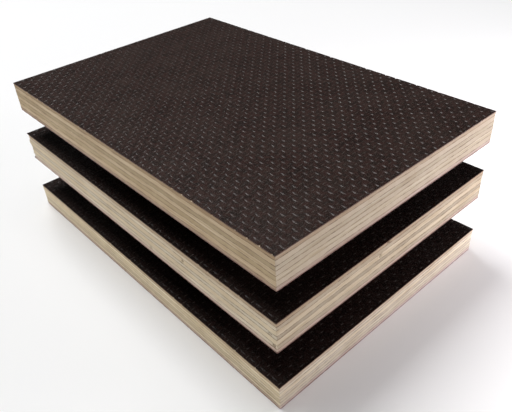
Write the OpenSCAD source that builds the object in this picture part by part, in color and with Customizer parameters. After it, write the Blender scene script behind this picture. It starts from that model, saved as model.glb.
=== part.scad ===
// Stack of three film-faced plywood panels with a wire-mesh anti-slip face.
// Each panel is seven crossed plies between two resin films. The panels lie one above
// the other on short blocks, a little out of line with each other.
// X runs along the short edges, Y along the long edges, and the stack rests on z = 0.

/* [Panels] */
// Length of every panel, along Y
panel_length = 150; // [100:1:300]
// Width of every panel, along X
panel_width = 100; // [70:1:250]
// Thickness of the top panel, films included
top_panel_t = 11.65; // [9:0.05:21]
// Thickness of the middle panel, films included
middle_panel_t = 11.6; // [9:0.05:21]
// Thickness of the bottom panel, films included
bottom_panel_t = 9.7; // [8:0.05:21]

/* [Plies and films] */
// Thickness of one resin film
film_t = 0.25; // [0.1:0.05:0.6]
// Thickness of each outer veneer, under the film
face_ply_t = 1.2; // [0.6:0.1:2]

/* [Stacking] */
// Air gap between the top and the middle panel
upper_gap = 10.4; // [4:0.1:30]
// Air gap between the middle and the bottom panel
lower_gap = 13.6; // [4:0.1:30]
// How far the middle panel lies off the top one, along X and Y
middle_shift = [-1.1, -0.4]; // [-3:0.1:3]
// How far the bottom panel lies off the top one, along X and Y
bottom_shift = [-1.8, -1.2]; // [-3:0.1:3]

/* [Spacer blocks] */
// Width of one block, along Y
block_width = 15; // [8:1:25]
// Distance from the long edges of the top panel to the ends of the blocks
block_end_inset = 25; // [20:1:30]
// Distance from the short edges of the top panel to the outer sides of the blocks
block_side_inset = 27; // [20:1:30]

/* [Hidden] */
panel_names = ["top", "middle", "bottom"];
panel_t = [top_panel_t, middle_panel_t, bottom_panel_t];
panel_shift = [[0, 0], middle_shift, bottom_shift];

// Relative thicknesses of the core plies of each panel, from the top ply down
core_mix = [
    [11, 9, 10, 10, 11],
    [9, 12, 8, 12, 9],
    [9, 12, 8, 11, 10],
];

// Underside of each panel
bottom_z = 0;
middle_z = bottom_z + bottom_panel_t + lower_gap;
top_z = middle_z + middle_panel_t + upper_gap;
panel_z = [top_z, middle_z, bottom_z];

// The middle of the box around the whole stack, seen from the middle of the top panel
function middle_of(list) = (min(list) + max(list)) / 2;
stack_middle = [for (axis = [0, 1]) middle_of([for (s = panel_shift) s[axis]])];

function total(list, n) = n == 0 ? 0 : list[n - 1] + total(list, n - 1);

// Thicknesses of one panel's layers from its top film down to its bottom film
function core_t(p) = panel_t[p] - 2 * (film_t + face_ply_t);
function core_plies(p) = [
    for (share = core_mix[p]) core_t(p) * share / total(core_mix[p], len(core_mix[p]))
];
function layers(p) = concat([film_t, face_ply_t], core_plies(p), [face_ply_t, film_t]);
layer_names = [
    "film_top", "ply_1", "ply_2", "ply_3", "ply_4", "ply_5", "ply_6", "ply_7", "film_bottom"
];
function layer_node(p, n) = str(panel_names[p], "_", layer_names[n]);

// Spacer blocks: a front and a rear one in each gap
gap_names = ["upper", "lower"];
gap_z = [middle_z + middle_panel_t, bottom_z + bottom_panel_t];
gap_h = [upper_gap, lower_gap];
side_names = ["front", "rear"];
side_sign = [-1, 1];
block_length = panel_width - 2 * block_end_inset;
block_y = panel_length / 2 - block_side_inset - block_width / 2;
function block_node(g, s) = str(gap_names[g], "_", side_names[s], "_block");

// One colour for each layer, from the top film down
layer_colours = [
    "#3a2d2b", "#b9976f", "#cdb79b", "#c3a883", "#cbb69c", "#d9c59c", "#c4ae94",
    "#bd9c84", "#2b2524"
];

// A flat layer or block centred on x and y, standing on z = 0
module slab(width, length, height) {
    translate([-width / 2, -length / 2, 0])
        cube([width, length, height]);
}

// One film or ply of a panel: number n counts down from the top film
module layer(p, n) {
    below = panel_t[p] - total(layers(p), n + 1);
    shift = panel_shift[p] - stack_middle;
    color(layer_colours[n])
        translate([shift[0], shift[1], panel_z[p] + below])
            slab(panel_width, panel_length, layers(p)[n]);
}

// One spacer block, squared up with the top panel
module block(g, s) {
    color("#b08d62")
        translate([-stack_middle[0], side_sign[s] * block_y - stack_middle[1], gap_z[g]])
            slab(block_length, block_width, gap_h[g]);
}

for (p = [0:2], n = [0:8])
    layer(p, n);
for (g = [0, 1], s = [0, 1])
    block(g, s);
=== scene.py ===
"""Stack of three film-faced plywood panels with a wire-mesh anti-slip face.

Every film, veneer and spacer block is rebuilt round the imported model: the upper films get the
dents of the wire mesh, the veneers get sawn, slightly uneven edges, and each finish is procedural.
"""

import math

import bpy
import numpy as np
from bpy.props import FloatProperty, FloatVectorProperty, IntProperty, PointerProperty
from mathutils import Matrix, Vector


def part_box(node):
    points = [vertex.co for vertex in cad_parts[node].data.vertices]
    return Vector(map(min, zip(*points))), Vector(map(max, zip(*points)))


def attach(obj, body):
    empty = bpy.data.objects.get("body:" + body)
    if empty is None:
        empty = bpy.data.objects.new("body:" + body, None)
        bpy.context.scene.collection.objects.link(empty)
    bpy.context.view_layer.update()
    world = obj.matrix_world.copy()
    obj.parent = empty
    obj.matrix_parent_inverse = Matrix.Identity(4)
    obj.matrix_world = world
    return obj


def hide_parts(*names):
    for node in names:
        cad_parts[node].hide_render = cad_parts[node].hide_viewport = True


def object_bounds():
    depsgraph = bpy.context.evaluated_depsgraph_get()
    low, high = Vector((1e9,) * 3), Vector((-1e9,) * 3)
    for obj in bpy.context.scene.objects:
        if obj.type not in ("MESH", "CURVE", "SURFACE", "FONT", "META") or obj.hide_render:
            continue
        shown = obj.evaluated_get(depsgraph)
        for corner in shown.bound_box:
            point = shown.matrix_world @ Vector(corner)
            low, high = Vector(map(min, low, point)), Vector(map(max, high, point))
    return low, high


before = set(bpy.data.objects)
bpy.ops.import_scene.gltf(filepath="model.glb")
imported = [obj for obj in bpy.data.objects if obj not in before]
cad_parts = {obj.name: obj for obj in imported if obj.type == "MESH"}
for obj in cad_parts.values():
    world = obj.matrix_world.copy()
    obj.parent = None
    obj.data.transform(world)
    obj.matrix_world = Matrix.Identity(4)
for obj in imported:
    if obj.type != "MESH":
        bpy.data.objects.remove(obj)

bl_info = {
    "name": "Film-Faced Plywood Stack",
    "version": (1, 0, 0),
    "blender": (4, 5, 0),
    "location": "View3D > Sidebar > Plywood",
    "description": "Builds the films, veneers and spacer blocks of a stack of plywood panels",
    "category": "Object",
}

CAD_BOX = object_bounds()
MM = 0.001

PANELS = ("top", "middle", "bottom")
PLIES = (1, 2, 3, 4, 5, 6, 7)
BLOCKS = ("upper_front_block", "upper_rear_block", "lower_front_block", "lower_rear_block")

# Material slots of the plies, from the face veneer down to the back veneer
PLY_SLOTS = (
    "face_veneer", "long_grain_veneer", "cross_grain_veneer", "long_grain_veneer",
    "cross_grain_veneer", "long_grain_veneer", "back_veneer",
)

# How light each veneer is beside the colour of its slot, from the top ply down
PLY_TONES = {
    "top": (0.94, 1.03, 0.90, 1.02, 1.00, 1.06, 0.97),
    "middle": (1.00, 0.98, 1.16, 0.89, 1.16, 0.99, 1.08),
    "bottom": (0.98, 1.08, 1.11, 1.04, 0.98, 1.01, 0.98),
}

# Painted light and shade: tints that make each panel's wood lighter or darker on its long sides and on
# its short sides
PANEL_SIDE_SHADING = {
    "top": ((0.90, 0.855, 0.76), (0.89, 0.93, 0.96)),
    "middle": ((1.09, 1.13, 1.16), (0.87, 0.90, 0.91)),
    "bottom": ((1.17, 1.22, 1.20), (1.20, 1.32, 1.46)),
}

# Each film: how light it is, the two lower films darker as painted shade between the panels, how much it
# shines, how deep the dents along the panel show beside those across it, and how strongly painted glints
# show in the bottoms of the dents along and across it
FILM_LOOKS = {
    "top": (0.92, 0.155, 1.0, 0.08, 0.19),
    "middle": (0.55, 0.13, 0.4, 0.0, 0.25),
    "bottom": (0.55, 0.13, 0.4, 0.0, 0.25),
    "smooth": (1.0, 0.24, 0.0, 0.0, 0.0),
}

# Seeds that the random draws of the pieces are worked out from
FILM_SEED, SEAM_SEED, PLY_SEED, RIM_SEED = 50, 100, 1000, 7


# ---------------------------------------------------------------- settings


class FilmSettings(bpy.types.PropertyGroup):
    """Sizes and colours of the resin films."""

    wires_across: IntProperty(
        name="Wires Across", default=44, min=4, description="Mesh wires over the width of a panel"
    )
    wires_along: IntProperty(
        name="Wires Along", default=66, min=4, description="Mesh wires over the length of a panel"
    )
    dent_depth: FloatProperty(
        name="Dent Depth", default=0.15 * MM, unit="LENGTH", precision=5,
        description="How deep a wire's knuckle is pressed into the film",
    )
    dent_length: FloatProperty(
        name="Dent Length", default=0.86, min=0.1, max=1, subtype="FACTOR",
        description="Length of a dent, as a share of the mesh pitch",
    )
    dent_width: FloatProperty(
        name="Dent Width", default=0.25, min=0.1, max=1, subtype="FACTOR",
        description="Width of a dent, as a share of the mesh pitch",
    )
    notch_depth: FloatProperty(
        name="Notch Depth", default=0.7 * MM, unit="LENGTH", precision=5,
        description="How far the saw tore the film back where it cut a dent",
    )
    colour: FloatVectorProperty(
        name="Film", subtype="COLOR", size=3, min=0, max=1, default=(0.0150, 0.0098, 0.0085),
        description="Colour of the resin film",
    )
    mottle_colour: FloatVectorProperty(
        name="Mottle", subtype="COLOR", size=3, min=0, max=1, default=(0.034, 0.0165, 0.0140),
        description="Colour of the redder mottling in the film",
    )
    # Paler colour of the film's specks, also laid into its dents as painted sheen
    speck_and_sheen_colour: FloatVectorProperty(
        name="Worn", subtype="COLOR", size=3, min=0, max=1, default=(0.056, 0.040, 0.034),
        description="Colour of the paler specks and of the dents in the film",
    )
    # Painted glints: the pale colour drawn into the bottoms of the dents
    glint_colour: FloatVectorProperty(
        name="Rubbed", subtype="COLOR", size=3, min=0, max=1, default=(0.24, 0.24, 0.22),
        description="Colour of the rubbed bottoms of the dents",
    )
    edge_colour: FloatVectorProperty(
        name="Cut Edge", subtype="COLOR", size=3, min=0, max=1, default=(0.16, 0.085, 0.06),
        description="Colour of the mesh-pressed film where it is cut through",
    )
    back_edge_colour: FloatVectorProperty(
        name="Cut Back Edge", subtype="COLOR", size=3, min=0, max=1, default=(0.34, 0.18, 0.15),
        description="Colour of the smooth film where it is cut through",
    )


class VeneerSettings(bpy.types.PropertyGroup):
    """Sizes and colours of the veneers."""

    face_colour: FloatVectorProperty(
        name="Face Veneer", subtype="COLOR", size=3, min=0, max=1, default=(0.56, 0.425, 0.295),
        description="Colour of the veneer under the mesh-pressed film",
    )
    long_grain_colour: FloatVectorProperty(
        name="Long-Grain Veneer", subtype="COLOR", size=3, min=0, max=1,
        default=(0.675, 0.57, 0.44), description="Colour of the core veneers that run along the panel",
    )
    cross_grain_colour: FloatVectorProperty(
        name="Cross-Grain Veneer", subtype="COLOR", size=3, min=0, max=1,
        default=(0.645, 0.54, 0.395), description="Colour of the core veneers that run across the panel",
    )
    back_colour: FloatVectorProperty(
        name="Back Veneer", subtype="COLOR", size=3, min=0, max=1, default=(0.595, 0.46, 0.385),
        description="Colour of the veneer on the smooth side",
    )
    torn_colour: FloatVectorProperty(
        name="Torn Veneer", subtype="COLOR", size=3, min=0, max=1, default=(0.60, 0.49, 0.36),
        description="Colour of the fresh wood where the film is chipped off the face veneer",
    )
    glue_colour: FloatVectorProperty(
        name="Glue Line", subtype="COLOR", size=3, min=0, max=1, default=(0.16, 0.10, 0.065),
        description="Colour of the glue between two veneers",
    )
    # Dark colour of the knots, and painted shade in the gaps of the veneers
    knot_and_gap_shade_colour: FloatVectorProperty(
        name="Knot", subtype="COLOR", size=3, min=0, max=1, default=(0.13, 0.07, 0.035),
        description="Colour of the knots and of the gaps in the veneers",
    )
    wave: FloatProperty(
        name="Wave", default=0.10 * MM, unit="LENGTH", precision=5,
        description="How far the line between two veneers strays up and down",
    )
    roughness: FloatProperty(
        name="Sawn Roughness", default=0.05 * MM, unit="LENGTH", precision=5,
        description="How far the sawn edge strays in and out",
    )


class StageSettings(bpy.types.PropertyGroup):
    """Camera and floor."""

    camera_place: FloatVectorProperty(
        name="Camera", subtype="TRANSLATION", size=3, default=(-0.11874, -0.15183, 0.11895),
        description="Place of the camera, from the middle of the stack",
    )
    heading: FloatProperty(
        name="Heading", subtype="ANGLE", default=math.radians(39.97),
        description="Direction of the view, turned from +Y towards +X",
    )
    dip: FloatProperty(
        name="Dip", subtype="ANGLE", default=math.radians(35.93),
        description="How far the camera looks down",
    )
    roll: FloatProperty(
        name="Roll", subtype="ANGLE", default=math.radians(-3.92),
        description="How far the camera is turned about its own view",
    )
    focal_length: FloatProperty(
        name="Focal Length", subtype="DISTANCE_CAMERA", default=40.89,
        description="Focal length in millimetres on a 36 mm sensor",
    )
    floor_colour: FloatVectorProperty(
        name="Floor", subtype="COLOR", size=3, min=0, max=1, default=(0.88, 0.885, 0.89),
        description="Colour of the plain floor",
    )


class PlywoodStackSettings(bpy.types.PropertyGroup):
    """All settings of the stack."""

    film: PointerProperty(type=FilmSettings)
    veneer: PointerProperty(type=VeneerSettings)
    stage: PointerProperty(type=StageSettings)


# ---------------------------------------------------------------- shader nodes


def add_node(tree, kind, inputs=None, **settings):
    """A new node with its settings, its links and its input values."""
    node = tree.nodes.new(kind)
    for name, value in settings.items():
        setattr(node, name, value)
    for name, value in (inputs or {}).items():
        if isinstance(value, bpy.types.NodeSocket):
            tree.links.new(value, node.inputs[name])
        else:
            node.inputs[name].default_value = value
    return node


def calculate(tree, operation, *values, clamp=False):
    """The result of a Math node."""
    inputs = dict(enumerate(values))
    return add_node(tree, "ShaderNodeMath", inputs, operation=operation, use_clamp=clamp).outputs[0]


def calculate_vector(tree, operation, *values):
    """The vector that a Vector Math node gives."""
    inputs = dict(enumerate(values))
    return add_node(tree, "ShaderNodeVectorMath", inputs, operation=operation).outputs[0]


def ramp(tree, value, start, end, low=0.0, high=1.0):
    """value taken smoothly from start..end to low..high."""
    inputs = {"Value": value, 1: start, 2: end, 3: low, 4: high}
    node = add_node(tree, "ShaderNodeMapRange", inputs, interpolation_type="SMOOTHSTEP")
    return node.outputs[0]


def blend_colours(tree, factor, first, second, mode="MIX"):
    """Two colours mixed by factor."""
    node = tree.nodes.new("ShaderNodeMix")
    node.data_type = "RGBA"
    node.blend_type = mode
    for index, value in ((0, factor), (6, first), (7, second)):
        if isinstance(value, bpy.types.NodeSocket):
            tree.links.new(value, node.inputs[index])
        elif index == 0:
            node.inputs[index].default_value = value
        else:
            node.inputs[index].default_value = (*value[:3], 1.0)
    return node.outputs[2]


def noise(tree, place, scale, detail=3.0, roughness=0.55, distortion=0.0):
    """A Noise Texture's value, about 0.5 on average."""
    inputs = {
        "Vector": place, "Scale": scale, "Detail": detail, "Roughness": roughness,
        "Distortion": distortion,
    }
    return add_node(tree, "ShaderNodeTexNoise", inputs).outputs[0]


def new_group(name, inputs, outputs):
    """An empty shader group with named sockets: its tree, its input node and its output node."""
    tree = bpy.data.node_groups.new(name, "ShaderNodeTree")
    for label, kind, default in inputs:
        socket = tree.interface.new_socket(label, in_out="INPUT", socket_type=kind)
        socket.default_value = default
    for label in outputs:
        tree.interface.new_socket(label, in_out="OUTPUT", socket_type="NodeSocketFloat")
    return tree, tree.nodes.new("NodeGroupInput").outputs, tree.nodes.new("NodeGroupOutput").inputs


def grain_group():
    """Veneer grain: streaks along the fibres, growth bands and lathe checks across them."""
    inputs = (
        ("Place", "NodeSocketVector", (0, 0, 0)),
        ("Along", "NodeSocketVector", (1, 1, 1)),
        ("Sheet", "NodeSocketFloat", 0.0),
    )
    tree, given, result = new_group("veneer_grain", inputs, ("Streaks", "Bands", "Checks", "Height"))
    apart = add_node(tree, "ShaderNodeCombineXYZ", {0: given["Sheet"], 1: given["Sheet"], 2: 0.0})
    moved = calculate_vector(tree, "ADD", given["Place"], apart.outputs[0])
    drawn = calculate_vector(tree, "MULTIPLY", moved, given["Along"])
    streaks = noise(tree, drawn, 1500.0, detail=5.0, roughness=0.65, distortion=0.3)
    fine = noise(tree, drawn, 5200.0, detail=2.0, roughness=0.6)
    layered = calculate_vector(tree, "MULTIPLY", drawn, (0.12, 0.12, 1.0))
    bands = noise(tree, layered, 2000.0, detail=2.0, roughness=0.5, distortion=0.4)
    checked = calculate_vector(tree, "MULTIPLY", drawn, (1.0, 1.0, 0.22))
    checks = noise(tree, checked, 1900.0, detail=3.0, roughness=0.7)
    tree.links.new(ramp(tree, streaks, 0.32, 0.70), result["Streaks"])
    tree.links.new(ramp(tree, bands, 0.36, 0.64), result["Bands"])
    tree.links.new(ramp(tree, checks, 0.56, 0.70), result["Checks"])
    height = calculate(tree, "ADD", calculate(tree, "MULTIPLY", streaks, 0.6), fine)
    tree.links.new(height, result["Height"])
    return tree


# How thick the glue between two veneers shows
GLUE_WIDTH = 0.19 * MM


def glue_group():
    """Glue between two veneers: a dark line that comes and goes along the edge."""
    inputs = (
        ("Place", "NodeSocketVector", (0, 0, 0)),
        ("Distance", "NodeSocketFloat", 0.0),
        ("Width", "NodeSocketFloat", GLUE_WIDTH),
    )
    tree, given, result = new_group("glue_line", inputs, ("Line",))
    uneven = noise(tree, given["Place"], 420.0, detail=4.0, roughness=0.7)
    width = calculate(tree, "MULTIPLY", given["Width"], ramp(tree, uneven, 0.3, 0.72, 0.35, 1.5))
    near = calculate(tree, "DIVIDE", given["Distance"], width)
    line = ramp(tree, near, 0.35, 1.1, 1.0, 0.0)
    strength = ramp(tree, noise(tree, given["Place"], 130.0, detail=3.0), 0.3, 0.7, 0.40, 0.95)
    tree.links.new(calculate(tree, "MULTIPLY", line, strength), result["Line"])
    return tree


def saw_group():
    """Marks that the saw left across the edges: fine upright lines and rub marks."""
    inputs = (("Place", "NodeSocketVector", (0, 0, 0)),)
    tree, given, result = new_group("saw_marks", inputs, ("Rub", "Height"))
    upright = calculate_vector(tree, "MULTIPLY", given["Place"], (1.0, 1.0, 0.10))
    lines = noise(tree, upright, 1350.0, detail=3.0, roughness=0.7)
    broad = noise(tree, given["Place"], 110.0, detail=3.0, roughness=0.6)
    tree.links.new(ramp(tree, broad, 0.35, 0.68), result["Rub"])
    tree.links.new(lines, result["Height"])
    return tree


# The dents are a little shorter in colour than in shape, so that no colour runs out of them
COLOUR_LENGTH = 0.8


def imprint_group():
    """Dents of the wire mesh: in turn along and across the panel, like the knuckles of the weave."""
    inputs = (
        ("Place", "NodeSocketVector", (0, 0, 0)),
        ("Corner", "NodeSocketVector", (0, 0, 0)),
        ("Pitch", "NodeSocketFloat", 2.3 * MM),
        ("Length", "NodeSocketFloat", 0.7),
        ("Width", "NodeSocketFloat", 0.25),
    )
    tree, given, result = new_group("mesh_imprint", inputs, ("Along Dent", "Across Dent"))
    from_corner = calculate_vector(tree, "SUBTRACT", given["Place"], given["Corner"])
    scaled = add_node(tree, "ShaderNodeSeparateXYZ", {0: from_corner})
    cells = [calculate(tree, "DIVIDE", scaled.outputs[axis], given["Pitch"]) for axis in (0, 1)]
    whole = [calculate(tree, "FLOOR", cell) for cell in cells]
    parts = [calculate(tree, "SUBTRACT", cell, floor) for cell, floor in zip(cells, whole)]
    offsets = [calculate(tree, "ABSOLUTE", calculate(tree, "SUBTRACT", part, 0.5)) for part in parts]
    count = calculate(tree, "ADD", *whole)
    odd = calculate(tree, "FLOORED_MODULO", count, 2.0)
    even = calculate(tree, "SUBTRACT", 1.0, odd)

    def dent(across, along):
        wide = calculate(tree, "DIVIDE", across, calculate(tree, "MULTIPLY", given["Width"], 0.5))
        far = calculate(tree, "DIVIDE", along, calculate(tree, "MULTIPLY", given["Length"], 0.5))
        square = calculate(
            tree, "ADD", calculate(tree, "POWER", wide, 2.0), calculate(tree, "POWER", far, 4.0)
        )
        return calculate(tree, "SUBTRACT", 1.0, square, clamp=True)

    along_dent = calculate(tree, "MULTIPLY", dent(offsets[0], offsets[1]), odd)
    across_dent = calculate(tree, "MULTIPLY", dent(offsets[1], offsets[0]), even)
    tree.links.new(along_dent, result["Along Dent"])
    tree.links.new(across_dent, result["Across Dent"])
    return tree


def resin_group():
    """Surface of a pressed resin film: clouding, specks and a fine leathery height."""
    inputs = (("Place", "NodeSocketVector", (0, 0, 0)),)
    outputs = ("Clouds", "Tint", "Specks", "Height")
    tree, given, result = new_group("pressed_resin", inputs, outputs)
    clouds = noise(tree, given["Place"], 70.0, detail=5.0, roughness=0.7)
    tint = noise(tree, given["Place"], 800.0, detail=3.0, roughness=0.6)
    specks = noise(tree, given["Place"], 2600.0, detail=3.0, roughness=0.7)
    leather = noise(tree, given["Place"], 1500.0, detail=4.0, roughness=0.7, distortion=0.5)
    tree.links.new(ramp(tree, clouds, 0.35, 0.68), result["Clouds"])
    tree.links.new(ramp(tree, tint, 0.38, 0.62), result["Tint"])
    tree.links.new(ramp(tree, specks, 0.52, 0.66), result["Specks"])
    tree.links.new(leather, result["Height"])
    return tree


def shared_group(name):
    """A shared effect's node group, built on its first use."""
    makers = {
        "veneer_grain": grain_group, "glue_line": glue_group, "saw_marks": saw_group,
        "mesh_imprint": imprint_group, "pressed_resin": resin_group,
    }
    return bpy.data.node_groups.get(name) or makers[name]()


def effect(tree, name, inputs):
    """A shared effect placed in a material, with its own values."""
    node = tree.nodes.new("ShaderNodeGroup")
    node.node_tree = shared_group(name)
    for label, value in inputs.items():
        if isinstance(value, bpy.types.NodeSocket):
            tree.links.new(value, node.inputs[label])
        else:
            node.inputs[label].default_value = value
    return node.outputs


def new_material(name, **values):
    """An empty material: its tree, its shader and the coordinates of its object."""
    material = bpy.data.materials.new(name)
    material.use_nodes = True
    tree = material.node_tree
    shader = tree.nodes["Principled BSDF"]
    for label, value in values.items():
        shader.inputs[label.replace("_", " ")].default_value = value
    return material, tree, shader, tree.nodes.new("ShaderNodeTexCoord").outputs


def bump(tree, height, distance, strength=1.0, normal=None):
    """The normal of a Bump node."""
    inputs = {"Height": height, "Distance": distance, "Strength": strength}
    if normal is not None:
        inputs["Normal"] = normal
    return add_node(tree, "ShaderNodeBump", inputs).outputs[0]


def steep_mask(tree, coordinates):
    """1 on upright faces and 0 on level ones."""
    upright = add_node(tree, "ShaderNodeSeparateXYZ", {0: coordinates["Normal"]}).outputs[2]
    return ramp(tree, calculate(tree, "ABSOLUTE", upright), 0.45, 0.65, 1.0, 0.0)


def veneer_material(name, base, side_shading, across, number):
    """Sawn veneer. across says that its fibres run across the panel, along X."""
    settings = bpy.context.scene.plywood_stack.veneer
    material, tree, shader, coordinates = new_material(name, Roughness=0.72)
    shader.inputs["Specular IOR Level"].default_value = 0.3
    place = coordinates["Object"]
    stretch = (0.035, 1.0, 1.0) if across else (1.0, 0.035, 1.0)
    grain = effect(tree, "veneer_grain", {"Place": place, "Along": stretch, "Sheet": 0.37 * number})
    saw = effect(tree, "saw_marks", {"Place": place})
    distance = add_node(tree, "ShaderNodeAttribute", attribute_name="from_glue").outputs["Fac"]
    hollow = add_node(tree, "ShaderNodeAttribute", attribute_name="hollow").outputs["Fac"]
    glue = effect(
        tree, "glue_line", {"Place": place, "Distance": distance, "Width": GLUE_WIDTH}
    )["Line"]

    parts = add_node(tree, "ShaderNodeSeparateXYZ", {0: coordinates["Normal"]}).outputs
    end_grain = ramp(tree, calculate(tree, "ABSOLUTE", parts[0 if across else 1]), 0.4, 0.7)

    dark = [channel * share for channel, share in zip(base, (0.74, 0.66, 0.56))]
    light = [min(1.0, channel * share) for channel, share in zip(base, (1.10, 1.12, 1.14))]
    wood = blend_colours(tree, grain["Streaks"], dark, light)
    wood = blend_colours(tree, calculate(tree, "MULTIPLY", grain["Bands"], 0.38), wood, dark)
    ends = [channel * share for channel, share in zip(base, (0.77, 0.72, 0.65))]
    pores = calculate(tree, "MULTIPLY", grain["Checks"], end_grain)
    wood = blend_colours(tree, calculate(tree, "MULTIPLY", end_grain, 0.85), wood, ends)
    wood = blend_colours(tree, calculate(tree, "MULTIPLY", pores, 0.4), wood, dark)
    wood = blend_colours(tree, calculate(tree, "MULTIPLY", saw["Rub"], 0.25), wood, light)
    wood = blend_colours(tree, glue, wood, settings.glue_colour)
    # Partly painted shade: knots and gaps are drawn in the dark knot colour, the more the deeper their
    # hollow goes
    frayed = ramp(tree, noise(tree, place, 900.0, detail=4.0, roughness=0.7), 0.35, 0.6, 0.2, 1.0)
    deep = ramp(tree, calculate(tree, "MULTIPLY", hollow, frayed), 0.02 * MM, 0.3 * MM)
    wood = blend_colours(tree, deep, wood, settings.knot_and_gap_shade_colour)
    # Painted light and shade: the long sides and the short sides of the panel get a lightness and tint
    # of their own
    on_long_side = ramp(tree, calculate(tree, "ABSOLUTE", parts[0]), 0.4, 0.7)
    tint = blend_colours(tree, on_long_side, side_shading[1], side_shading[0])
    wood = blend_colours(tree, 1.0, wood, tint, mode="MULTIPLY")
    wood = blend_colours(tree, steep_mask(tree, coordinates), settings.torn_colour, wood)
    tree.links.new(wood, shader.inputs["Base Color"])

    fibres = bump(tree, grain["Height"], 0.05 * MM, 0.6)
    sawn = bump(tree, saw["Height"], 0.06 * MM, 0.5, normal=fibres)
    sunk = calculate(tree, "SUBTRACT", 1.0, glue)
    tree.links.new(bump(tree, sunk, 0.04 * MM, 0.5, normal=sawn), shader.inputs["Normal"])
    return material


def film_material(name, edge_colour, look, corner=None, pitch=None):
    """Phenolic film. With a corner and a pitch it has the mesh imprint, and it is smooth without."""
    tone, shine, along_share, along_glint, across_glint = look
    settings = bpy.context.scene.plywood_stack.film
    material, tree, shader, coordinates = new_material(name)
    shader.inputs["Specular IOR Level"].default_value = shine
    place = coordinates["Object"]
    resin = effect(tree, "pressed_resin", {"Place": place})
    # The tone makes the two lower films darker: painted shade between the panels
    colour = blend_colours(
        tree, resin["Tint"], [channel * tone for channel in settings.colour],
        [channel * tone for channel in settings.mottle_colour],
    )
    pale = calculate(
        tree, "ADD", calculate(tree, "MULTIPLY", resin["Clouds"], 0.25),
        calculate(tree, "MULTIPLY", resin["Specks"], 0.8), clamp=True,
    )
    colour = blend_colours(
        tree, pale, colour, [channel * tone for channel in settings.speck_and_sheen_colour]
    )
    height = calculate(tree, "MULTIPLY", resin["Height"], 0.75)
    roughness = ramp(tree, resin["Specks"], 0.0, 1.0, 0.27, 0.38)
    if corner is not None:
        dents = effect(tree, "mesh_imprint", {
            "Place": place, "Corner": corner, "Pitch": pitch,
            "Length": settings.dent_length * COLOUR_LENGTH, "Width": settings.dent_width,
        })
        along_dent = calculate(tree, "MULTIPLY", dents["Along Dent"], along_share)
        dent = calculate(tree, "ADD", along_dent, dents["Across Dent"])
        # Painted sheen: the dents are drawn half way to the paler speck colour
        colour = blend_colours(
            tree, calculate(tree, "MULTIPLY", dent, 0.5), colour, settings.speck_and_sheen_colour
        )
        # Painted glints: the bottoms of the dents along and across the panel are drawn pale
        painted_glints = calculate(
            tree, "MULTIPLY", ramp(tree, resin["Tint"], 0.0, 1.0, 0.45, 1.0),
            calculate(
                tree, "ADD", ramp(tree, dents["Along Dent"], 0.55, 1.0, 0.0, along_glint),
                ramp(tree, dents["Across Dent"], 0.55, 1.0, 0.0, across_glint),
            ),
        )
        colour = blend_colours(tree, painted_glints, colour, settings.glint_colour)
        roughness = calculate(
            tree, "SUBTRACT", roughness, calculate(tree, "MULTIPLY", dent, 0.06)
        )
        height = calculate(tree, "SUBTRACT", height, calculate(tree, "MULTIPLY", dent, 0.3))
    colour = blend_colours(tree, steep_mask(tree, coordinates), colour, edge_colour)
    tree.links.new(colour, shader.inputs["Base Color"])
    tree.links.new(roughness, shader.inputs["Roughness"])
    tree.links.new(bump(tree, height, 0.10 * MM), shader.inputs["Normal"])
    return material


def block_material():
    """Plain sawn softwood, with its fibres along X."""
    material, tree, shader, coordinates = new_material("spacer_softwood", Roughness=0.7)
    place = coordinates["Object"]
    grain = effect(
        tree, "veneer_grain", {"Place": place, "Along": (0.035, 0.5, 0.5), "Sheet": 5.1}
    )
    saw = effect(tree, "saw_marks", {"Place": place})
    wood = blend_colours(tree, grain["Streaks"], (0.34, 0.21, 0.11), (0.52, 0.36, 0.21))
    wood = blend_colours(
        tree, calculate(tree, "MULTIPLY", saw["Rub"], 0.3), wood, (0.56, 0.42, 0.27)
    )
    tree.links.new(wood, shader.inputs["Base Color"])
    fibres = bump(tree, grain["Height"], 0.06 * MM, 0.6)
    tree.links.new(bump(tree, saw["Height"], 0.08 * MM, 0.5, fibres), shader.inputs["Normal"])
    return material


# ---------------------------------------------------------------- shapes


# Distance between the points of an outline
STEP = 0.5 * MM

# How far from a corner the way in starts to turn
TURN = 1.2 * MM


class Outline:
    """Points round a panel, anticlockwise from its lowest corner."""

    def __init__(self, low, high):
        corners = [(low.x, low.y), (high.x, low.y), (high.x, high.y), (low.x, high.y)]
        points, inward, walked, to_corner, side = [], [], [], [], []
        so_far = 0.0
        for number, start in enumerate(corners):
            end = corners[(number + 1) % 4]
            length = math.dist(start, end)
            along = np.array([(end[0] - start[0]) / length, (end[1] - start[1]) / length])
            normal = np.array([-along[1], along[0]])
            count = round(length / STEP)
            for index in range(count):
                far = length * index / count
                points.append(np.array(start) + along * far)
                # Near a corner the way in turns towards the sum of both sides' ways in
                turn = math.exp(-((far / TURN) ** 2)) - math.exp(-(((length - far) / TURN) ** 2))
                inward.append(normal + along * turn)
                walked.append(so_far + far)
                to_corner.append(min(far, length - far))
                side.append(number)
            so_far += length
        self.points, self.inward = np.array(points), np.array(inward)
        self.walked, self.to_corner = np.array(walked), np.array(to_corner)
        self.side, self.length = np.array(side), so_far
        self.count = len(points)

    def ripple(self, seed, longest, shortest, waves=14):
        """A smooth closed random curve round the panel, about -1 to 1."""
        random = np.random.default_rng(seed)
        turns = np.exp(random.uniform(
            math.log(self.length / longest), math.log(self.length / shortest), waves
        )).round()
        starts = random.uniform(0, 2 * math.pi, waves)
        angle = 2 * math.pi * np.outer(self.walked / self.length, turns) + starts
        return np.cos(angle).sum(1) / math.sqrt(waves / 2) / 2


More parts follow.
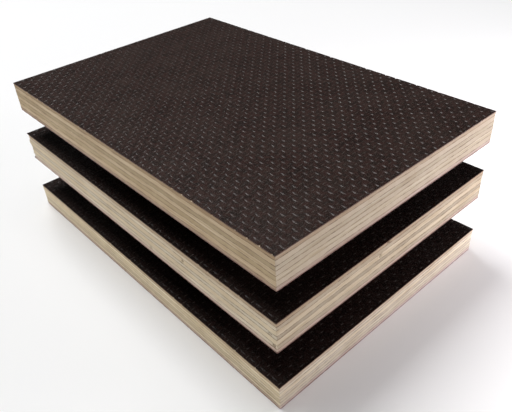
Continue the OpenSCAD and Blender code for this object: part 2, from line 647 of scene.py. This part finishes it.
def finish_object(name, points, faces, node, material, attributes=None, sharp=50):
    """A mesh object that stands for a CAD node; edges of more than sharp degrees stay sharp."""
    mesh = bpy.data.meshes.new(name)
    mesh.from_pydata(points.tolist(), [], faces)
    for label, values in (attributes or {}).items():
        mesh.attributes.new(label, "FLOAT", "POINT").data.foreach_set("value", values)
    mesh.shade_smooth()
    mesh.set_sharp_from_angle(angle=math.radians(sharp))
    mesh.materials.append(material)
    made = bpy.data.objects.new(name, mesh)
    bpy.context.scene.collection.objects.link(made)
    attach(made, "root")
    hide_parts(node)


# Size of the flat middle of a plate, beside its outline
INNER_RING = 0.92


def plate(outline, rows):
    """A closed plate from rows of (way in, height) round the outline, from the lowest row up."""
    count = outline.count
    centre = outline.points.mean(0)

    def ring(inset, height):
        flat = outline.points + outline.inward * np.broadcast_to(inset, count)[:, None]
        return np.column_stack([flat, np.broadcast_to(height, count)])

    def inner_ring(height):
        flat = centre + (outline.points - centre) * INNER_RING
        return np.column_stack([flat, np.full(count, height)])

    rings = [ring(inset, height) for inset, height in rows]
    floor, ceiling = rows[0][1].mean(), rows[-1][1].mean()
    rings = [inner_ring(floor), *rings, inner_ring(ceiling)]
    points = np.vstack([*rings, [[*centre, floor], [*centre, ceiling]]])
    after = np.roll(np.arange(count), -1)
    faces = []
    for number in range(len(rings) - 1):
        first, second = number * count, (number + 1) * count
        faces += [
            (first + i, first + j, second + j, second + i) for i, j in enumerate(after)
        ]
    last = (len(rings) - 1) * count
    below, above = len(points) - 2, len(points) - 1
    faces += [(below, j, i) for i, j in enumerate(after)]
    faces += [(last + i, last + j, above) for i, j in enumerate(after)]
    return points, faces


def seam_heights(outline, panel, number, height):
    """Height of the line under layer number of a panel, all round it."""
    settings = bpy.context.scene.plywood_stack.veneer
    wave = settings.wave if 1 <= number <= 6 else 0.0
    seed = SEAM_SEED * PANELS.index(panel) + number
    return height + wave * outline.ripple(seed, 70 * MM, 6 * MM)


def corner_wear(outline, side, depth, reach):
    """Way in near the corner where a side starts, or near all corners if side is None."""
    away = outline.to_corner
    if side is not None:
        start = outline.walked[np.flatnonzero(outline.side == side)[0]]
        apart = np.abs(outline.walked - start)
        away = np.minimum(apart, outline.length - apart)
    return depth * np.exp(-((away / reach) ** 2))


# Open knots and gaps in the veneers: panel, ply, side, share of the side, half width, depth.
# Sides count round from the short front one: 0 front, 1 right, 2 back, 3 left.
FRONT, RIGHT, BACK, LEFT = range(4)
KNOTS = (
    ("top", 4, RIGHT, 0.30, 1.2 * MM, 0.30 * MM),
    ("top", 5, BACK, 0.62, 1.4 * MM, 0.35 * MM),
    ("middle", 1, FRONT, 0.47, 1.2 * MM, 0.30 * MM),
    ("middle", 3, FRONT, 0.435, 0.5 * MM, 0.35 * MM),
    ("middle", 6, LEFT, 0.60, 0.9 * MM, 0.20 * MM),
    ("middle", 3, LEFT, 0.725, 0.8 * MM, 0.25 * MM),
    ("middle", 5, LEFT, 0.70, 1.3 * MM, 0.12 * MM),
    ("middle", 4, LEFT, 0.985, 0.9 * MM, 0.30 * MM),
    ("middle", 6, LEFT, 0.995, 0.7 * MM, 0.40 * MM),
    ("middle", 5, RIGHT, 0.40, 1.5 * MM, 0.35 * MM),
    ("bottom", 4, RIGHT, 0.55, 1.1 * MM, 0.30 * MM),
    ("bottom", 2, BACK, 0.70, 0.9 * MM, 0.30 * MM),
)


# Least and greatest way in, in millimetres, at every corner and at the middle panel's torn one
BLUNT_CORNERS = (0.02, 0.18)
TORN_CORNER = (0.1, 0.9)


def knot_depth(outline, panel, ply):
    """Way in at the middle of a ply's edge where it has knots."""
    depth = np.zeros(outline.count)
    for knot_panel, knot_ply, side, share, half_width, deep in KNOTS:
        if (knot_panel, knot_ply) != (panel, ply):
            continue
        walked = outline.walked[outline.side == side]
        centre = walked[0] + share * (walked[-1] - walked[0])
        depth += deep * np.exp(-(((outline.walked - centre) / half_width) ** 4))
    return depth


def sawn(outline, seed):
    """How rough the saw left the faces round an outline, from 0 to about 2."""
    return (1 + outline.ripple(seed, 6 * MM, 1.1 * MM, waves=40)).clip(0)


def make_ply(panel, ply):
    """One veneer, with uneven seams and a sawn edge."""
    settings = bpy.context.scene.plywood_stack.veneer
    node = f"{panel}_ply_{ply}"
    low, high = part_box(node)
    outline = Outline(low, high)
    above = seam_heights(outline, panel, ply - 1, high.z)
    below = seam_heights(outline, panel, ply, low.z)
    seed = PLY_SEED + 10 * PANELS.index(panel) + ply
    random = np.random.default_rng(seed)
    knot = knot_depth(outline, panel, ply)
    wear = corner_wear(outline, None, random.uniform(*BLUNT_CORNERS) * MM, 0.5 * MM)
    if panel == "middle":
        torn = random.uniform(*TORN_CORNER) * MM
        wear = np.maximum(wear, corner_wear(outline, LEFT, torn, 1.1 * MM))
    base = random.uniform(0.0, 0.03) * MM
    rows, distances, hollows = [], [], []
    for share in (0.0, 0.25, 0.5, 0.75, 1.0):
        rough = sawn(outline, seed * 10 + int(share * 4))
        belly = math.sin(math.pi * share)
        worn = wear * (1 - 0.6 * belly)
        inset = base + worn + settings.roughness * rough * 0.5 + knot * belly
        rows.append((inset, below + (above - below) * share))
        distances.append((above - below) * min(share, 1 - share))
        hollows.append(knot * belly)
    points, faces = plate(outline, rows)
    apart = np.full(outline.count, 3 * MM)
    solid = np.zeros(outline.count)
    attributes = {
        "from_glue": np.concatenate([apart, *distances, apart, [1.0, 1.0]]),
        "hollow": np.concatenate([solid, *hollows, solid, [0.0, 0.0]]),
    }
    colours = {
        "face_veneer": settings.face_colour, "long_grain_veneer": settings.long_grain_colour,
        "cross_grain_veneer": settings.cross_grain_colour, "back_veneer": settings.back_colour,
    }
    slot = PLY_SLOTS[ply - 1]
    tone = PLY_TONES[panel][ply - 1]
    material = veneer_material(
        f"{panel}_veneer_{ply}", [channel * tone for channel in colours[slot]],
        PANEL_SIDE_SHADING[panel], ply % 2 == 1, 10 * PANELS.index(panel) + ply,
    )
    finish_object(f"{panel}_veneer_{ply}", points, faces, node, material, attributes)


def make_smooth_film(panel):
    """The smooth lower film of a panel, with a slightly torn rim."""
    node = f"{panel}_film_bottom"
    low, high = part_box(node)
    outline = Outline(low, high)
    torn = outline.ripple(RIM_SEED + PANELS.index(panel), 12 * MM, 1.2 * MM, waves=40)
    inset = 0.06 * MM * torn.clip(0) + corner_wear(outline, None, 0.1 * MM, 0.4 * MM)
    rows = [(inset, np.full(outline.count, z)) for z in (low.z, high.z)]
    points, faces = plate(outline, rows)
    edge_colour = bpy.context.scene.plywood_stack.film.back_edge_colour
    material = bpy.data.materials.get("smooth_film") or film_material(
        "smooth_film", edge_colour, FILM_LOOKS["smooth"]
    )
    finish_object(f"{panel}_smooth_film", points, faces, node, material)


def dent_depths(u, v, length, width):
    """Depth, 0 to 1, of the mesh imprint at u, v pitches from the corner."""
    cell_u, cell_v = np.floor(u), np.floor(v)
    du, dv = u - cell_u - 0.5, v - cell_v - 0.5
    along = (cell_u + cell_v) % 2 == 1
    across = np.where(along, du, dv) / (width / 2)
    lengthwise = np.where(along, dv, du) / (length / 2)
    return (1 - across ** 2 - lengthwise ** 4).clip(0)


# How far the mesh lines beside a dent's bottom lie from it, and half the width of a chip, both
# as shares of a mesh cell
FLANK = 0.14
CHIP = 0.155

# Depth of the chips on the two lower panels beside those on the top one, of the chips on the
# short sides beside those on the long ones, and of those next to a corner beside the others
LOWER_CHIPS = 0.4
SHORT_SIDE_CHIPS = 0.3
CORNER_CHIPS = 0.5

# The ring under a pressed film: how far in it lies, and the share of a half side where it turns
RING_INSET = 1.5 * MM
RING_TURN = 0.1


def make_pressed_film(panel):
    """The upper film of a panel, with the dents of the wire mesh and a notched rim."""
    settings = bpy.context.scene.plywood_stack.film
    node = f"{panel}_film_top"
    low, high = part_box(node)
    # Lines across each mesh cell: its border, the two flanks of a dent and the bottom of it
    cuts = np.array([0.0, 0.5 - FLANK, 0.5, 0.5 + FLANK])

    def lines(cells):
        return np.append((np.arange(cells)[:, None] + cuts).ravel(), cells)

    u, v = lines(settings.wires_across), lines(settings.wires_along)
    pitch = (high.x - low.x) / settings.wires_across
    pitch_y = (high.y - low.y) / settings.wires_along
    random = np.random.default_rng(FILM_SEED + PANELS.index(panel))
    depth = dent_depths(u[None, :], v[:, None], settings.dent_length, settings.dent_width)
    strength = 0.92 + 0.08 * np.sin(u[None, :] * 0.7 + v[:, None] * 0.31 + random.uniform(0, 6))
    drop = settings.dent_depth * depth * strength
    x = low.x + pitch * np.broadcast_to(u[None, :], depth.shape)
    y = low.y + pitch_y * np.broadcast_to(v[:, None], depth.shape)
    plain_rim = np.column_stack([x.ravel(), y.ravel()])
    x, y = x.copy(), y.copy()

    # The rim is chipped in places where the saw went through a dent, most of all on the top panel
    notch = settings.notch_depth * (1.0 if panel == "top" else LOWER_CHIPS)

    def chips(along, first_cell):
        cell = np.floor(along).clip(0, along.max() - 1).astype(int)
        cut = (cell + first_cell) % 2 == 0
        size = random.uniform(-0.35, 1.0, int(along.max()) + 1).clip(0)
        # The last size has no cell, so three are taken there to reach two cells
        size[:2] *= CORNER_CHIPS
        size[-3:] *= CORNER_CHIPS
        shape = (1 - ((along - cell - 0.5) / CHIP) ** 2).clip(0)
        return notch * cut * size[cell] * shape

    x[:, 0] += chips(v, 0)
    x[:, -1] -= chips(v, settings.wires_across - 1)
    y[0, :] += SHORT_SIDE_CHIPS * chips(u, 0)
    y[-1, :] -= SHORT_SIDE_CHIPS * chips(u, settings.wires_along - 1)

    rows, columns = depth.shape
    number = np.arange(rows * columns).reshape(rows, columns)
    points = np.column_stack([x.ravel(), y.ravel(), (high.z - drop).ravel()])
    faces = np.stack(
        [number[:-1, :-1], number[:-1, 1:], number[1:, 1:], number[1:, :-1]], -1
    ).reshape(-1, 4).tolist()

    # Below lie the rim, a straight ring a little way in from it, and the middle
    rim = np.concatenate([number[0, :-1], number[:-1, -1], number[-1, :0:-1], number[:0:-1, 0]])
    count = len(rim)
    lower = points[rim].copy()
    lower[:, 2] = low.z
    centre = np.array([(low.x + high.x) / 2, (low.y + high.y) / 2, low.z])
    share = (plain_rim[rim] - centre[:2]) / (np.array([high.x - low.x, high.y - low.y]) / 2)
    ring = lower.copy()
    turned = ((np.abs(share) - 1 + RING_TURN) / RING_TURN).clip(0)
    ring[:, :2] = plain_rim[rim] - np.sign(share) * RING_INSET * turned
    first = len(points)
    second, middle = first + count, first + 2 * count
    points = np.vstack([points, lower, ring, centre])
    after = np.roll(np.arange(count), -1)
    faces += [(first + i, first + j, int(rim[j]), int(rim[i])) for i, j in enumerate(after)]
    faces += [(second + i, second + j, first + j, first + i) for i, j in enumerate(after)]
    faces += [(middle, second + j, second + i) for i, j in enumerate(after)]
    material = film_material(
        f"{panel}_mesh_film", settings.edge_colour, FILM_LOOKS[panel], tuple(low), pitch
    )
    finish_object(f"{panel}_mesh_film", points, faces, node, material, sharp=10)


# How far a block's edges are eased, and how rough its faces are sawn
BLOCK_EASE = 0.35 * MM
BLOCK_ROUGHNESS = 0.03 * MM


def make_block(node):
    """One spacer block: sawn softwood with eased edges."""
    low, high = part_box(node)
    outline = Outline(low, high)
    rows = []
    for height, inset in (
        (low.z, BLOCK_EASE), (low.z + BLOCK_EASE, 0.0),
        (high.z - BLOCK_EASE, 0.0), (high.z, BLOCK_EASE),
    ):
        rough = BLOCK_ROUGHNESS * sawn(outline, len(rows))
        rows.append((inset + rough, np.full(outline.count, height)))
    points, faces = plate(outline, rows)
    material = bpy.data.materials.get("spacer_softwood") or block_material()
    name = node.replace("block", "spacer")
    finish_object(name, points, faces, node, material)


# ---------------------------------------------------------------- stage


# Where the low lights shine: at the middle of the long left side and at the front right corner
LEFT_AIM, RIGHT_AIM = (-0.05, 0.0, 0.03), (0.05, -0.075, 0.03)

# Soft lights: name, place, aim, size, power, colour
LIGHTS = (
    ("key", (0.0, 0.85, 1.75), (0, 0, 0), 0.9, 30.0, (1.0, 1.0, 1.0)),
    ("overhead", (0.0, 0.0, 2.0), (0, 0, 0), 1.6, 13.0, (1.0, 0.99, 0.99)),
    ("left", (-0.7, 0.4, 0.10), LEFT_AIM, 0.2, 1.42, (1.0, 1.0, 0.96)),
    ("right", (0.22, -0.20, 0.06), RIGHT_AIM, 0.1, 0.70, (1.03, 0.95, 1.0)),
)
BACKDROP_LIGHT = 0.05

# Half the width of the floor
FLOOR_REACH = 0.65


def add_area_light(name, place, aim, size, power, colour):
    """A soft square light that shines at aim."""
    data = bpy.data.lights.new(name, "AREA")
    data.shape, data.size, data.energy, data.color = "SQUARE", size, power, colour
    lamp = bpy.data.objects.new(name, data)
    lamp.location = place
    lamp.visible_camera = False
    lamp.rotation_euler = (Vector(aim) - Vector(place)).to_track_quat("-Z", "Y").to_euler()
    bpy.context.scene.collection.objects.link(lamp)


def add_camera(settings):
    """The camera, set by its place and the direction of its view."""
    data = bpy.data.cameras.new("camera")
    data.sensor_width, data.lens = 36.0, settings.focal_length
    data.clip_start = 0.005
    camera = bpy.data.objects.new("camera", data)
    heading, dip, roll = settings.heading, settings.dip, settings.roll
    ahead = Vector((
        math.sin(heading) * math.cos(dip), math.cos(heading) * math.cos(dip), -math.sin(dip)
    ))
    level = Vector((math.cos(heading), -math.sin(heading), 0.0))
    upright = level.cross(ahead)
    right = level * math.cos(roll) + upright * math.sin(roll)
    up = upright * math.cos(roll) - level * math.sin(roll)
    turn = Matrix((right, up, -ahead)).transposed().to_4x4()
    middle = (CAD_BOX[0] + CAD_BOX[1]) / 2
    camera.matrix_world = Matrix.Translation(middle + Vector(settings.camera_place)) @ turn
    bpy.context.scene.collection.objects.link(camera)
    bpy.context.scene.camera = camera


def add_floor(settings):
    """A plain pale floor."""
    mesh = bpy.data.meshes.new("floor")
    far = FLOOR_REACH
    corners = [(-far, -far, 0), (far, -far, 0), (far, far, 0), (-far, far, 0)]
    mesh.from_pydata(corners, [], [(0, 1, 2, 3)])
    material, tree, shader, coordinates = new_material("floor_paper", Roughness=0.9)
    clouds = noise(tree, coordinates["Object"], 6.0, detail=2.0)
    tint = [channel * 0.985 for channel in settings.floor_colour]
    paper = blend_colours(tree, clouds, settings.floor_colour, tint)
    tree.links.new(paper, shader.inputs["Base Color"])
    shader.inputs["Specular IOR Level"].default_value = 0.1
    mesh.materials.append(material)
    floor = bpy.data.objects.new("floor", mesh)
    bpy.context.scene.collection.objects.link(floor)


def add_world(strength):
    """A pale backdrop for the camera that lights the stack with no more than strength."""
    world = bpy.data.worlds.new("studio")
    world.use_nodes = True
    tree = world.node_tree
    seen = tree.nodes.new("ShaderNodeLightPath").outputs["Is Camera Ray"]
    background = tree.nodes["Background"]
    background.inputs["Color"].default_value = (0.96, 0.96, 0.96, 1.0)
    tree.links.new(ramp(tree, seen, 0.0, 1.0, strength, 1.0), background.inputs["Strength"])
    bpy.context.scene.world = world


# ---------------------------------------------------------------- operators


class PLYSTACK_OT_pressed_films(bpy.types.Operator):
    """Make the upper films with the imprint of the wire mesh"""

    bl_idname = "plywood_stack.pressed_films"
    bl_label = "Make Pressed Films"

    def execute(self, context):
        for panel in PANELS:
            make_pressed_film(panel)
        return {"FINISHED"}


class PLYSTACK_OT_veneers(bpy.types.Operator):
    """Make the crossed veneers of every panel"""

    bl_idname = "plywood_stack.veneers"
    bl_label = "Make Veneers"

    def execute(self, context):
        for panel in PANELS:
            for ply in PLIES:
                make_ply(panel, ply)
        return {"FINISHED"}


class PLYSTACK_OT_smooth_films(bpy.types.Operator):
    """Make the smooth lower films"""

    bl_idname = "plywood_stack.smooth_films"
    bl_label = "Make Smooth Films"

    def execute(self, context):
        for panel in PANELS:
            make_smooth_film(panel)
        return {"FINISHED"}


class PLYSTACK_OT_spacer_blocks(bpy.types.Operator):
    """Make the spacer blocks between the panels"""

    bl_idname = "plywood_stack.spacer_blocks"
    bl_label = "Make Spacer Blocks"

    def execute(self, context):
        for node in BLOCKS:
            make_block(node)
        return {"FINISHED"}


class PLYSTACK_OT_stage(bpy.types.Operator):
    """Make the floor, the lights and the camera"""

    bl_idname = "plywood_stack.stage"
    bl_label = "Make Stage"

    def execute(self, context):
        settings = context.scene.plywood_stack.stage
        add_floor(settings)
        add_world(BACKDROP_LIGHT)
        for light in LIGHTS:
            add_area_light(*light)
        add_camera(settings)
        context.scene.view_settings.view_transform = "Standard"
        return {"FINISHED"}


STEPS = (
    PLYSTACK_OT_pressed_films, PLYSTACK_OT_veneers, PLYSTACK_OT_smooth_films,
    PLYSTACK_OT_spacer_blocks, PLYSTACK_OT_stage,
)


class PLYSTACK_PT_sidebar(bpy.types.Panel):
    """The stack's settings and steps"""

    bl_label = "Plywood Stack"
    bl_idname = "PLYSTACK_PT_sidebar"
    bl_space_type = "VIEW_3D"
    bl_region_type = "UI"
    bl_category = "Plywood"

    def draw(self, context):
        settings = context.scene.plywood_stack
        for group in (settings.film, settings.veneer, settings.stage):
            box = self.layout.box()
            for name in group.__annotations__:
                box.prop(group, name)
        for step in STEPS:
            self.layout.operator(step.bl_idname)


CLASSES = (
    FilmSettings, VeneerSettings, StageSettings, PlywoodStackSettings, *STEPS, PLYSTACK_PT_sidebar,
)


def register():
    """Add the classes and the settings to Blender."""
    for kind in CLASSES:
        bpy.utils.register_class(kind)
    bpy.types.Scene.plywood_stack = PointerProperty(type=PlywoodStackSettings)


def unregister():
    """Take the classes and the settings out again."""
    del bpy.types.Scene.plywood_stack
    for kind in reversed(CLASSES):
        bpy.utils.unregister_class(kind)


def main():
    """Build the stack and its stage."""
    register()
    for step in STEPS:
        area, name = step.bl_idname.split(".")
        getattr(getattr(bpy.ops, area), name)()


if __name__ == "__main__":
    main()
